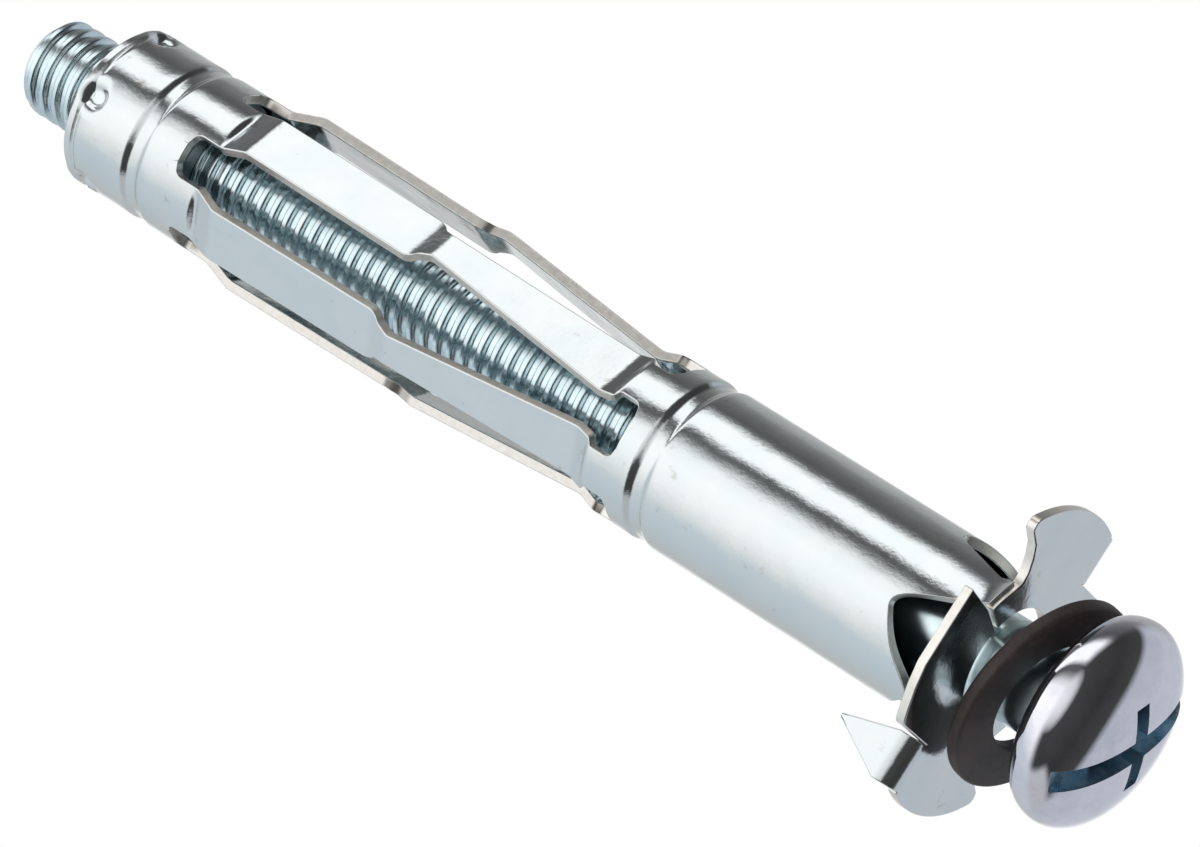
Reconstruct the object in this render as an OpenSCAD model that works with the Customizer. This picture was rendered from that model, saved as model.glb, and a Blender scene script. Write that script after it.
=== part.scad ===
// Hollow wall anchor: a rolled sheet-steel sleeve with folding legs and a lobed
// flange, a threaded insert held in its far collar, a pan head machine screw and
// a loose washer under the head. Millimetres.
// The axis runs along X, towards the head. X = 0 is the flange face that meets
// the wall, and the axis is Y = Z = 0.

/* [Sleeve] */
// Outside diameter of the rolled tube
tube_d = 9.8; // [9.6:0.1:10.4]
// Thickness of the sheet steel
sheet_t = 0.6; // [0.5:0.05:0.7]
// Length of the sleeve behind the wall
sleeve_len = 65; // [60:0.5:72]
// Length of the plain tube between the flange and the legs
front_len = 25.3; // [22:0.1:28]
// Length of the collar that holds the insert
collar_len = 10.1; // [9.6:0.1:12]
// Length of the bevel on the far rim
rim_bevel = 0.15; // [0.05:0.01:0.25]

/* [Rolled grooves] */
// Depth of the rolled grooves
groove_depth = 0.25; // [0.1:0.01:0.3]
// Width of the rolled grooves
groove_w = 1.5; // [1:0.1:2]
// From the near end of the legs to the front groove
front_groove_gap = 3.9; // [3:0.1:6]
// From the far rim to the groove around the insert
far_groove_gap = 5.2; // [4.8:0.1:5.6]

/* [Legs] */
// Number of folding legs
leg_count = 5; // [4:1:5]
// Angle of the first slot from the top
slot_turn = 4; // [-10:1:15]
// Width of a leg at its two roots
leg_root_w = 3.44; // [3:0.02:3.6]
// Width of the far half of a leg
leg_far_w = 3.18; // [2.8:0.02:3.4]
// Width of a leg at its waist, where it folds
leg_waist_w = 1.86; // [1.4:0.02:2.4]
// From the far end of the legs to the fold at the waist
waist_at = 14.9; // [12:0.1:17]
// Length of the pressed step at the waist
waist_step = 1.5; // [1:0.1:2]
// Distance from the axis to a leg's face near its far root
far_face_r = 5.37; // [5.1:0.01:5.5]
// Distance from the axis to a leg's face just before the step
step_face_r = 5.17; // [5:0.01:5.3]
// Distance from the axis to a leg's face at the waist
waist_face_r = 5.6; // [5.4:0.01:5.8]
// Distance from the axis to a leg's face near its front root
near_face_r = 4.22; // [4.1:0.01:4.4]
// Length of the ramp at the far root
far_ramp = 1.9; // [1.4:0.1:2.6]
// Length of the ramp at the front root
near_ramp = 1.1; // [0.8:0.1:1.6]
// How far a slot runs into the far collar
slot_far_run = 1.9; // [1.2:0.1:2.4]
// How far a slot runs into the front tube
slot_near_run = 1.85; // [1.2:0.05:2.4]
// How far the slot widens at its front end, each side
slot_ear = 0.34; // [0.1:0.02:0.5]
// Corner radius of the slot ends
slot_corner_r = 0.6; // [0.3:0.05:0.8]

/* [Flange] */
// Radius of the two rounded lobes
lobe_r = 9.2; // [8.6:0.1:10]
// Distance from the axis to the straight edges
flange_half_h = 8; // [7.4:0.1:8.6]
// Radius of the hole through the flange
flange_hole_r = 3.7; // [3.5:0.05:4]
// Angle of the first neck from the top
neck_turn = -36; // [-42:1:-30]
// Half of a neck's angle where it meets the flange
neck_half_angle = 10.5; // [9:0.5:13]
// Angle by which the flange laps past each side of a neck
horn_lap = 1.5; // [1:0.25:2]
// Half of a neck's angle at the bottom of the windows
neck_foot_angle = 35; // [30:1:40]
// Depth of the windows beside the necks
window_depth = 4.8; // [4:0.1:5.6]
// Depth of the windows at their middle
window_mid_depth = 2.1; // [1.6:0.1:2.8]
// Inside radius of the bend at the spikes
spike_bend_r = 0.6; // [0.4:0.05:0.8]
// Length of the spikes behind the wall face
spike_len = 4; // [3:0.1:5]
// Width of the spikes at their bend
spike_w = 2.9; // [2.4:0.1:3.2]
// Sideways distance from the axis to the nearer side of a spike
spike_side = 5.75; // [5.5:0.05:6]

/* [Insert] */
// Length of the threaded insert
insert_len = 5.5; // [4.6:0.1:5.8]
// Gap between the insert and the sleeve
insert_gap = 0.1; // [0.05:0.01:0.15]
// Radius of the punched dimples behind the insert
dimple_r = 1; // [0.8:0.05:1.1]
// How deep a dimple is punched
dimple_depth = 0.55; // [0.4:0.05:0.6]
// From the far rim to the middle of a dimple
dimple_gap = 1.15; // [1:0.05:1.4]

/* [Screw] */
// Diameter of the screw over its thread
screw_d = 5.9; // [5.8:0.05:5.95]
// Pitch of the thread
thread_pitch = 1; // [0.8:0.1:1.25]
// Length of the screw under its head
screw_len = 76.3; // [74:0.1:82]
// Gap from the flange's front face to the underside of the head
head_gap = 4.75; // [4.4:0.05:7]
// Diameter of the head
head_d = 12.2; // [11.4:0.1:12.6]
// Height of the head
head_h = 4.35; // [4:0.05:5]
// Height of the head's widest place above its underside
head_belly = 1.45; // [0.8:0.05:1.8]
// Radius of the flat under the head
head_seat_r = 5.1; // [4.6:0.1:5.4]
// Running clearance around the screw in the insert
screw_gap = 0.05; // [0.02:0.01:0.1]
// Width of the driver slot
slot_w = 1.4; // [1.2:0.05:1.6]
// Depth of the driver slot below the top of the head
slot_depth = 1.6; // [1.4:0.05:2]
// Width across the arms of the cross recess
recess_w = 5.4; // [5:0.1:6.4]
// Width of one arm of the cross recess
recess_arm = 1; // [0.8:0.05:1.3]
// Depth of the cross recess below the top of the head
recess_depth = 3; // [2.6:0.1:3.2]

/* [Washer] */
// Outside diameter of the washer
washer_d = 12; // [11.4:0.1:12.4]
// Thickness of the washer
washer_t = 0.85; // [0.6:0.05:1.2]
// Gap from the flange's front face to the middle of the washer's rear face
washer_gap = 2.15; // [1.9:0.05:2.4]
// How far the loose washer leans over sideways
washer_lean = 10.4; // [0:0.2:12]
// How far it leans up and down
washer_nod = 3; // [0:0.2:4]
// How far the washer sits to one side of the screw's axis
washer_shift = 0.25; // [0.05:0.05:0.4]

/* [Hidden] */
$fn = 96;

tube_r = tube_d / 2;
bore_r = tube_r - sheet_t;
screw_r = screw_d / 2;
overlap = 0.3;                                // how far joined pieces of one solid run into each other

// Stations along the axis, from the wall face.
rim_x = -sleeve_len;
legs_far_x = rim_x + collar_len;
legs_near_x = -front_len;
waist_x = legs_far_x + waist_at;
step_x = waist_x - waist_step / 2;
crest_x = waist_x + waist_step / 2;
front_groove_x = legs_near_x + front_groove_gap;
far_groove_x = rim_x + far_groove_gap;
dimple_x = rim_x + dimple_gap;

// The insert fills the collar from the slot ends back, short of the dimples.
nut_near_x = legs_far_x - slot_far_run - 2 * insert_gap;
nut_far_x = nut_near_x - insert_len;
nut_r = bore_r - insert_gap;

// The head stands off the flange with the loose washer in the gap. The leaning washer's hole
// clears the screw.
head_x = sheet_t + head_gap;
washer_x = sheet_t + washer_gap;
washer_hole_r = (screw_r + washer_shift + screw_gap + washer_t * sin(washer_lean) / 2)
                / cos(washer_lean);

// Legs and slots share the circle equally at the roots, the slots a hair wider.
leg_pitch = 360 / leg_count;
root_r = sqrt(pow(tube_r, 2) - pow(leg_root_w / 2, 2));
slot_half_w = tube_r * sin(leg_pitch / 2 - asin(leg_root_w / 2 / tube_r)) + 0.05;

// Turns a model drawn along Z, with its top at +X, onto the axis.
module on_axis() {
    rotate([0, 90, 0]) rotate([0, 0, 180]) children();
}

// A ring of the tube wall between two stations.
module tube_ring(x0, x1) {
    translate([0, 0, x0]) difference() {
        cylinder(h = x1 - x0, r = tube_r);
        translate([0, 0, -1]) cylinder(h = x1 - x0 + 2, r = bore_r);
    }
}

// Points of an arc about c, from angle a to angle b, in n steps.
function arc(c, r, a, b, n) =
    [for (i = [0 : n]) let (t = a + (b - a) * i / n) [c[0] + r * cos(t), c[1] + r * sin(t)]];

// How far a rolled groove draws the wall in: one smooth wave, zero at its ends.
function groove(d) = groove_depth * (1 + cos(360 * d / groove_w)) / 2;

// Points along a grooved wall of radius r, from one side of the groove to the other.
function grooved(r, x) =
    [for (i = [0 : 12]) let (d = groove_w * (i / 12 - 0.5)) [r - groove(d), x + d]];

// Outside and inside of a grooved wall from x0 to x1, as a closed outline.
module grooved_tube(x0, x1, groove_x, bevel) {
    outside = concat([[tube_r - bevel, x0], [tube_r, x0 + bevel]], grooved(tube_r, groove_x),
                     [[tube_r, x1]]);
    inside = concat([[bore_r, x0]], grooved(bore_r, groove_x), [[bore_r, x1]]);
    back = [for (i = [len(inside) - 1 : -1 : 0]) inside[i]];
    rotate_extrude() polygon(concat(outside, back));
}

// A slot end: a straight mouth at x, then a rounded end run further along.
module slot_end(x, run, half_w, ear) {
    w = half_w + ear;
    r = min(slot_corner_r, abs(run) / 2);
    s = sign(run);
    mouth = [[x - s * overlap, -half_w], [x + s * 0.4, -half_w], [x + s * 0.6, -w]];
    corner_a = arc([0, 0], r, -90, 0, 6);
    corner_b = arc([0, 0], r, 0, 90, 6);
    points = concat(mouth,
                    [for (p = corner_a) [x + run - s * r + s * p[0], -w + r + p[1]]],
                    [for (p = corner_b) [x + run - s * r + s * p[0], w - r + p[1]]],
                    [[x + s * 0.6, w], [x + s * 0.4, half_w], [x - s * overlap, half_w]]);
    // Drawn flat with the axis along X, then stood on the tube wall.
    rotate([0, -90, 0]) translate([0, 0, -tube_r - 1])
        linear_extrude(tube_r - 1.5) polygon(points);
}

// Side view of a leg: its outer face, and the same line one sheet further in.
module leg_side() {
    face = [[legs_far_x - overlap, root_r], [legs_far_x, root_r],
            [legs_far_x + far_ramp, far_face_r], [step_x, step_face_r],
            [crest_x, waist_face_r], [legs_near_x - near_ramp, near_face_r],
            [legs_near_x, root_r], [legs_near_x + overlap, root_r]];
    inner = [for (i = [len(face) - 1 : -1 : 0]) [face[i][0], face[i][1] - sheet_t]];
    polygon(concat(face, inner));
}

// Plan view of a leg, seen from outside: wide far half, narrow waist, flaring front half.
module leg_plan() {
    side = [[legs_far_x - overlap, leg_root_w / 2], [legs_far_x, leg_root_w / 2],
            [legs_far_x + far_ramp, leg_far_w / 2], [step_x - 0.1, leg_far_w / 2],
            [step_x + 0.25, leg_far_w / 2 - 0.12], [step_x + 0.5, leg_far_w / 2 - 0.4],
            [crest_x, leg_waist_w / 2], [legs_near_x - near_ramp, leg_root_w / 2 - 0.06],
            [legs_near_x, leg_root_w / 2], [legs_near_x + overlap, leg_root_w / 2]];
    other = [for (i = [len(side) - 1 : -1 : 0]) [side[i][0], -side[i][1]]];
    polygon(concat(side, other));
}

module leg() {
    intersection() {
        translate([0, leg_root_w, 0]) rotate([90, 0, 0]) linear_extrude(2 * leg_root_w)
            rotate([0, 0, 90]) mirror([0, 1, 0]) leg_side();
        rotate([0, -90, 0]) translate([0, 0, -2 * tube_r]) linear_extrude(2 * tube_r)
            leg_plan();
    }
}

// Windows and necks: what is left of the tube wall just behind the flange.
module neck_zone() {
    foot = tube_r * sin(neck_foot_angle);
    top = tube_r * sin(neck_half_angle);
    bump = [[0, 0], [0.55, 0.1], [1.2, 0.65], [2.4, 1.65], [4, 2.75]];
    bump_scale = (window_depth - window_mid_depth) / 2.75;
    shape = [for (p = bump) [-window_mid_depth - p[1] * bump_scale, p[0]]];
    other = [for (i = [len(shape) - 1 : -1 : 1]) [shape[i][0], -shape[i][1]]];
    intersection() {
        tube_ring(-window_depth - overlap, sheet_t / 2);
        union() {
            rotate([0, 0, neck_turn]) rotate([0, -90, 0]) translate([0, 0, -2 * tube_r])
                linear_extrude(4 * tube_r)
                    polygon([[-window_depth - overlap, foot + 0.2], [-window_depth, foot],
                             [0, top], [sheet_t, top], [sheet_t, -top], [0, -top],
                             [-window_depth, -foot], [-window_depth - overlap, -foot - 0.2]]);
            rotate([0, 0, neck_turn + 92]) rotate([0, -90, 0]) translate([0, 0, -2 * tube_r])
                linear_extrude(4 * tube_r)
                    polygon(concat(shape, [[-window_depth - overlap, 4],
                                           [-window_depth - overlap, -4]], other));
        }
    }
}

// One C-shaped tab of the flange, as [height, sideways] points.
module tab_outline() {
    horn_r = tube_r + 0.2;
    horn_turn = 180 + neck_turn + neck_half_angle + horn_lap;
    lobe_top = asin((spike_bend_r + 2.2) / lobe_r);
    points = concat(
        [[flange_half_h, -2.4], [flange_half_h, 2.2], [flange_half_h - 0.4, 3.4],
         [flange_half_h - 1, 4.6]],
        arc([flange_half_h - 1.85, 4.95], 0.55, 30, 100, 4),
        [[4.6, spike_side - 0.15], [spike_bend_r + 2.2, spike_side]],
        arc([0, 0], lobe_r, 90 - lobe_top, 125, 14),
        arc([-5.15, 6.95], 0.55, 140, 225, 4),
        [[-4.5, 6.05], [-3.9, 5.4], [-3.45, 4.6], [-3.4, 4]],
        arc([0, 0], horn_r, horn_turn - 2 * neck_half_angle + 4, horn_turn, 5),
        arc([0, 0], flange_hole_r, horn_turn, -20.6, 24),
        [[5.2, -1.95]]);
    polygon(points);
}

// A pointed spike, bent back from the edge of a lobe to grip the wall.
module spike() {
    outer_r = spike_bend_r + sheet_t;
    bend_v = spike_bend_r + 2.2;
    translate([bend_v, spike_side, -spike_bend_r]) {
        rotate([-90, 0, 0]) intersection() {
            difference() {
                cylinder(h = spike_w, r = outer_r);
                translate([0, 0, -1]) cylinder(h = spike_w + 2, r = spike_bend_r);
            }
            translate([0, -outer_r, 0]) cube([outer_r, outer_r, spike_w]);
        }
        translate([spike_bend_r, 0, 0]) rotate([0, 90, 0]) linear_extrude(sheet_t)
            polygon([[0, 0], [0, spike_w], [spike_len - spike_bend_r, 1.1],
                     [spike_len - spike_bend_r, 0.9]]);
    }
}

module tab() {
    linear_extrude(sheet_t) tab_outline();
    spike();
}

module dimple_dent() {
    translate([tube_r + dimple_r - dimple_depth, 0, dimple_x]) sphere(r = dimple_r);
}

// The same punch seen from inside: a bump one sheet thick that stops the insert.
module dimple_bump() {
    intersection() {
        translate([tube_r + dimple_r - dimple_depth, 0, dimple_x])
            sphere(r = dimple_r + sheet_t);
        translate([0, 0, rim_x + rim_bevel]) cylinder(h = collar_len, r = tube_r - sheet_t / 2);
    }
}

module sleeve() {
    color("gainsboro") on_axis() {
        difference() {
            union() {
                grooved_tube(rim_x, legs_far_x, far_groove_x, rim_bevel);
                grooved_tube(legs_near_x, -window_depth, front_groove_x, 0);
                for (i = [0 : leg_count - 1])
                    rotate([0, 0, slot_turn + i * leg_pitch]) dimple_bump();
            }
            for (i = [0 : leg_count - 1]) rotate([0, 0, slot_turn + i * leg_pitch]) {
                slot_end(legs_far_x, -slot_far_run, slot_half_w, 0);
                slot_end(legs_near_x, slot_near_run, slot_half_w, slot_ear);
                dimple_dent();
            }
        }
        for (i = [0 : leg_count - 1])
            rotate([0, 0, slot_turn + (i + 0.5) * leg_pitch]) leg();
        neck_zone();
        tab();
        rotate([0, 0, 180]) tab();
    }
}

// Threaded insert, with a groove for the rolled bead that keeps it in place.
module nut() {
    bead_r = nut_r - groove_depth;
    edge = 0.3;
    color("silver") on_axis() difference() {
        rotate_extrude() polygon([
            [screw_r + screw_gap, nut_far_x], [nut_r - edge, nut_far_x], [nut_r, nut_far_x + edge],
            [nut_r, far_groove_x - groove_w / 2], [bead_r, far_groove_x - groove_w / 6],
            [bead_r, far_groove_x + groove_w / 6], [nut_r, far_groove_x + groove_w / 2],
            [nut_r, nut_near_x - edge], [nut_r - edge, nut_near_x],
            [screw_r + screw_gap, nut_near_x]]);
        translate([0, 0, nut_far_x - 1]) cylinder(h = insert_len + 2, r = screw_r + screw_gap);
    }
}

// One arm of the cross recess: a flat blade that narrows towards its tip.
module recess_arm_blade() {
    tip_r = recess_w / 5;
    rotate([90, 0, 0]) translate([0, 0, -recess_arm / 2]) linear_extrude(recess_arm)
        polygon([[0, -recess_depth], [tip_r, -recess_depth], [recess_w / 2, -0.7],
                 [recess_w / 2 + 0.2, 1], [0, 1]]);
}

// Pan head screw. The thread is modelled as its outer diameter.
module screw() {
    head_r = head_d / 2;
    top_x = head_x + head_h;
    tip_x = head_x - screw_len;
    belly_x = head_x + head_belly;
    tip_bevel = thread_pitch * 0.6;
    under = [for (a = [0 : 15 : 75])
             [head_seat_r + (head_r - head_seat_r) * sin(a), belly_x - head_belly * cos(a)]];
    dome = [for (a = [0 : 7.5 : 90])
            [head_r * pow(cos(a), 0.85), belly_x + (top_x - belly_x) * sin(a)]];
    color("silver") on_axis() difference() {
        union() {
            rotate_extrude() polygon(concat(
                [[0, head_x - 1], [screw_r - 0.2, head_x - 1], [screw_r - 0.2, head_x]],
                under, dome));
            translate([0, 0, tip_x + tip_bevel])
                cylinder(h = screw_len - tip_bevel, r = screw_r);
            translate([0, 0, tip_x])
                cylinder(h = tip_bevel, r1 = screw_r - tip_bevel, r2 = screw_r);
        }
        translate([0, 0, top_x]) rotate([0, 0, 45]) {
            translate([-head_d, -slot_w / 2, -slot_depth]) cube([2 * head_d, slot_w, head_h]);
            for (a = [0 : 90 : 270]) rotate([0, 0, a]) recess_arm_blade();
            translate([0, 0, -recess_depth - 0.4])
                cylinder(h = 0.5, r1 = 0.4, r2 = recess_w / 5);
        }
    }
}

// Loose washer. It hangs on the screw, so it leans and sits to one side of the axis.
module washer() {
    color([0.2, 0.16, 0.15]) on_axis() translate([0, washer_shift, washer_x])
        rotate([-washer_lean, washer_nod, 0]) difference() {
            cylinder(h = washer_t, r = washer_d / 2);
            translate([0, 0, -1]) cylinder(h = washer_t + 2, r = washer_hole_r);
        }
}

sleeve();
nut();
screw();
washer();
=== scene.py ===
import math

import bmesh
import bpy
import numpy as np
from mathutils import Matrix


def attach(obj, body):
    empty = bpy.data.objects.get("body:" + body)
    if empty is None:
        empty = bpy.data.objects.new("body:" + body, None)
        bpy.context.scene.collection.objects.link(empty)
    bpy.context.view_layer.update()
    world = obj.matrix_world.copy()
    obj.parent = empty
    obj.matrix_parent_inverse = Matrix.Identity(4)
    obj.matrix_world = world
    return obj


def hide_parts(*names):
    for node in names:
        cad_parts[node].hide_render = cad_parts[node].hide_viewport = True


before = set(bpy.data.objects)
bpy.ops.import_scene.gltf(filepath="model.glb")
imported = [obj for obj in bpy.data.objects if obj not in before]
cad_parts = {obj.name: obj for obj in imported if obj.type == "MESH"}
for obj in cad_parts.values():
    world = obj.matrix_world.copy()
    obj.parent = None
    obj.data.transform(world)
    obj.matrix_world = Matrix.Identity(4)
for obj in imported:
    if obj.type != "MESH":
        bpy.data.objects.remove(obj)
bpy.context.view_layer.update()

mm = 0.001  # the frame is in metres, the dictionaries below are in millimetres


# Hex as a colour picker shows it, turned linear: c/12.92 below 0.04045, ((c+0.055)/1.055)^2.4 above.
def linear(hexText):
    parts = [int(hexText[i:i + 2], 16) / 255 for i in (1, 3, 5)]
    return [c / 12.92 if c <= 0.04045 else ((c + 0.055) / 1.055) ** 2.4 for c in parts] + [1.0]


# A shader node with its settings, plain input values and links in one call.
def addNode(tree, kind, inputs=None, links=None, **settings):
    node = tree.nodes.new(kind)
    for key, value in settings.items():
        setattr(node, key, value)
    for key, value in (inputs or {}).items():
        node.inputs[key].default_value = value
    for key, source in (links or {}).items():
        tree.links.new(source, node.inputs[key])
    return node


# Colour stops on a ramp node: (place, hex) pairs, or (place, grey level) pairs.
def setStops(ramp, stops):
    while len(ramp.color_ramp.elements) < len(stops):
        ramp.color_ramp.elements.new(0.5)
    for element, (place, colour) in zip(ramp.color_ramp.elements, stops):
        element.position = place
        element.color = linear(colour) if isinstance(colour, str) else (colour, colour, colour, 1)


# A new material with an empty tree: its tree, its output and the object's own coordinates.
def newMaterial(name):
    material = bpy.data.materials.new(name)
    material.use_nodes = True
    tree = material.node_tree
    tree.nodes.clear()
    output = addNode(tree, "ShaderNodeOutputMaterial")
    place = addNode(tree, "ShaderNodeTexCoord").outputs["Object"]
    return material, tree, output, place


# A point at axial place x, distance radius and turn from the axis; turn 0 is up, and grows towards -Y.
def aroundAxis(x, radius, turn):
    return np.stack(np.broadcast_arrays(x, -radius * np.sin(turn), radius * np.cos(turn)), axis=-1)


# Values at x on straight lines between points, as the mean over reach to each side, so folds are round.
def softLine(x, points, reach):
    px, py = np.array(points, float).T
    return np.mean([np.interp(x + d, px, py) for d in np.linspace(-reach, reach, 9)], axis=0)


# 0 below a, 1 above b and 3t^2 - 2t^3 between.
def smoothStep(x, a, b):
    t = np.clip((x - a) / (b - a), 0, 1)
    return t * t * (3 - 2 * t)


# Places along the axis from (start, step) stretches: each runs to the next one's start, the last to end.
def stations(stretches, end):
    starts, steps = np.array(stretches).T
    counts = np.maximum(2, np.round(np.diff(starts, append=end) / steps).astype(int) + 1)
    parts = [np.linspace(a, b, n) for a, b, n in zip(starts, np.append(starts[1:], end), counts)]
    return np.unique(np.round(np.concatenate(parts), 4))


# Arc points in a plane: centre + r(cos t, sin t), t from a to b degrees in n steps.
def arcPoints(centre, r, a, b, n):
    t = np.radians(np.linspace(a, b, n + 1))
    return np.stack([centre[0] + r * np.cos(t), centre[1] + r * np.sin(t)], axis=-1)


# An empty mesh object that rides on a body and stands for the named solids.
def newPiece(name, body, replaced=()):
    mesh = bpy.data.meshes.new(name)
    piece = bpy.data.objects.new(name, mesh)
    bpy.context.scene.collection.objects.link(piece)
    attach(piece, body)
    if replaced:
        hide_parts(*replaced)
    return piece


# Puts points in millimetres and faces into a piece's mesh, drops unused points, smooth all over.
def fillMesh(piece, points, faces, materialOf=None):
    used = np.unique(np.concatenate([np.asarray(f).ravel() for f in faces]))
    renumber = np.zeros(len(points), int)
    renumber[used] = np.arange(len(used))
    faceLists = [renumber[np.asarray(f)].tolist() for f in faces]
    allFaces = [face for group in faceLists for face in group]
    piece.data.from_pydata((np.asarray(points)[used] * mm).tolist(), [], allFaces)
    piece.data.polygons.foreach_set("use_smooth", [True] * len(allFaces))
    if materialOf is not None:
        indexes = np.concatenate([np.full(len(f), m) for f, m in zip(faceLists, materialOf)])
        piece.data.polygons.foreach_set("material_index", indexes)
    piece.data.update()


# A sheet with real thickness from two equal grids of points, outer and inner. kept says which cells
# are metal; every free edge of a kept cell gets a wall from outer to inner. Returns the points and two
# groups of faces: both skins, then the cut edges.
def sheetFaces(outer, inner, kept, closedAround):
    rows, columns = outer.shape[:2]
    points = np.concatenate([outer.reshape(-1, 3), inner.reshape(-1, 3)])
    inside = rows * columns
    number = np.arange(rows * columns).reshape(rows, columns)
    if closedAround:
        number = np.concatenate([number, number[:, :1]], axis=1)
    a, b, c, d = number[:-1, :-1], number[1:, :-1], number[1:, 1:], number[:-1, 1:]
    outerFaces = np.stack([a, d, c, b], axis=-1)[kept]
    skins = np.concatenate([outerFaces, outerFaces[:, ::-1] + inside])
    blank = np.zeros((1, kept.shape[1]), bool)
    before, after = np.concatenate([blank, kept[:-1]]), np.concatenate([kept[1:], blank])
    if closedAround:
        left, right = np.roll(kept, 1, axis=1), np.roll(kept, -1, axis=1)
    else:
        side = np.zeros((kept.shape[0], 1), bool)
        left = np.concatenate([side, kept[:, :-1]], axis=1)
        right = np.concatenate([kept[:, 1:], side], axis=1)
    edges = np.concatenate([np.stack(pair, axis=-1)[kept & ~neighbour] for pair, neighbour in (
        ((a, d), before), ((c, b), after), ((b, a), left), ((d, c), right))])
    walls = np.stack([edges[:, 1], edges[:, 0], edges[:, 0] + inside, edges[:, 1] + inside], axis=-1)
    return points, [skins, walls]


# Rounds a piece's edges that are sharper than its edgeAngle, to the width and steps in its dictionary.
def softenEdges(piece, sizes, clamped=False):
    bevel = piece.modifiers.new("soft edges", "BEVEL")
    bevel.width = sizes["edgeRound"] * mm
    bevel.segments = sizes["edgeSteps"]
    bevel.limit_method = "ANGLE"
    bevel.angle_limit = math.radians(sizes["edgeAngle"])
    bevel.harden_normals = True
    bevel.use_clamp_overlap = clamped


print("stage: sleeve")

sleeve = {
    "tubeR": 4.9, "sheet": 0.6, "plainX": -19.5, "legCount": 5, "slotTurn": 4.0,
    "legsFarX": -54.9, "legsNearX": -25.3, "slotFarX": -56.8, "slotNearX": -23.45,
    "slotHalf": 1.31, "slotCorner": 0.6, "slotEar": 0.38, "earRun": (0.05, 0.35),
    "grooves": (-59.8, -21.4), "grooveDepth": 0.2, "grooveWidth": 1.6, "grooveWall": 0.55,
    "rimLineX": -64.35, "rimLineDepth": 0.11, "rimLineWidth": 0.4,
    "dimpleX": -63.85, "dimpleR": 1.0, "dimpleDepth": 0.42,
    # the bowl's floor and the lip's place and width are shares of dimpleR
    "dimpleFloor": 0.35, "lipHeight": 0.06, "lipPlace": 1.18, "lipWidth": 0.2, "lipFade": (-0.7, 0.5),
    # height of a leg's outer face over the axis, then half its width, along the axis
    "legFace": ((-55.6, 4.75), (-54.9, 4.62), (-53.0, 5.37), (-40.75, 5.17), (-39.25, 5.6),
                (-26.4, 4.22), (-25.3, 4.59), (-24.6, 4.7)),
    "legHalf": ((-54.9, 1.72), (-53.0, 1.59), (-40.9, 1.59), (-40.4, 1.4), (-40.1, 1.12),
                (-39.3, 0.93), (-26.4, 1.66), (-25.3, 1.72)),
    "foldReach": 0.22, "sideReach": 0.12, "flatLead": 0.3, "flatTail": 0.15,
    # degrees round the tube: a neck's middle, half its top and half its foot, and a tongue's middle
    "neckTurn": -36.0, "neckHalf": 10.5, "neckFoot": 35.0, "tongueTurn": 92.0, "tongueHalf": 55.0,
    "neckFlare": 0.3, "neckFlareX": 1.0, "windowDepth": 4.8, "windowMore": 1.0, "windowRound": 7.0,
    # how far the tongue in the middle of a window stands back from the wall face, by sideways distance
    "tongue": ((0, 2.1), (0.55, 2.2), (1.2, 2.74), (2.4, 3.72), (4.0, 4.8)),
    # grid rows from the rim to the plain front as (start, step), closer at folds, grooves and slot ends
    "rows": ((-65.0, 0.12), (-62.6, 0.5), (-60.6, 0.1), (-59.0, 0.45), (-56.8, 0.1), (-56.2, 0.2),
             (-55.4, 0.12), (-52.6, 0.7), (-41.4, 0.1), (-38.8, 0.75), (-26.8, 0.12), (-24.8, 0.25),
             (-24.05, 0.1), (-23.45, 0.3), (-22.2, 0.1), (-20.6, 0.3)),
    # and on from there to the flange, as shares of the way: coarse rows, then fine ones
    "coarseRows": 7, "fineShare": 0.7, "fineRows": 15, "snapShare": 0.6,
    "cellsPerLeg": 12, "cellsPerSlot": 12,
    "edgeRound": 0.08, "edgeSteps": 2, "edgeAngle": 50,
}


# Outside radius of the round parts: the tube's radius less a flat-bottomed step with smooth walls at
# each rolled groove, and a fine line behind the rim.
def tubeRadius(x):
    s = sleeve
    radius = np.full_like(x, s["tubeR"])
    dents = [(g, s["grooveDepth"], s["grooveWidth"], s["grooveWall"]) for g in s["grooves"]]
    dents.append((s["rimLineX"], s["rimLineDepth"], s["rimLineWidth"], s["rimLineWidth"] / 2))
    for centre, depth, width, wall in dents:
        off = x - centre
        radius -= depth * (smoothStep(off, -width / 2, wall - width / 2)
                           - smoothStep(off, width / 2 - wall, width / 2))
    return radius


# Half the width of a slot at x, along the tube's surface: straight, with quarter-round corners at its
# ends and two ears at the near end.
def slotHalfWidth(x):
    s = sleeve
    earFrom, earTo = s["earRun"]
    half = s["slotHalf"] + s["slotEar"] * smoothStep(x, s["legsNearX"] + earFrom, s["legsNearX"] + earTo)
    fromEnd = np.clip(np.minimum(x - s["slotFarX"], s["slotNearX"] - x), 0, s["slotCorner"])
    corner = np.sqrt(s["slotCorner"] ** 2 - (s["slotCorner"] - fromEnd) ** 2)
    return half - s["slotCorner"] + corner


# Degrees from the nearest of two opposite middles: 0 at either one, 90 half way between.
def fromMiddle(turn, middle):
    return np.abs((turn - middle + 90) % 180 - 90)


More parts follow.
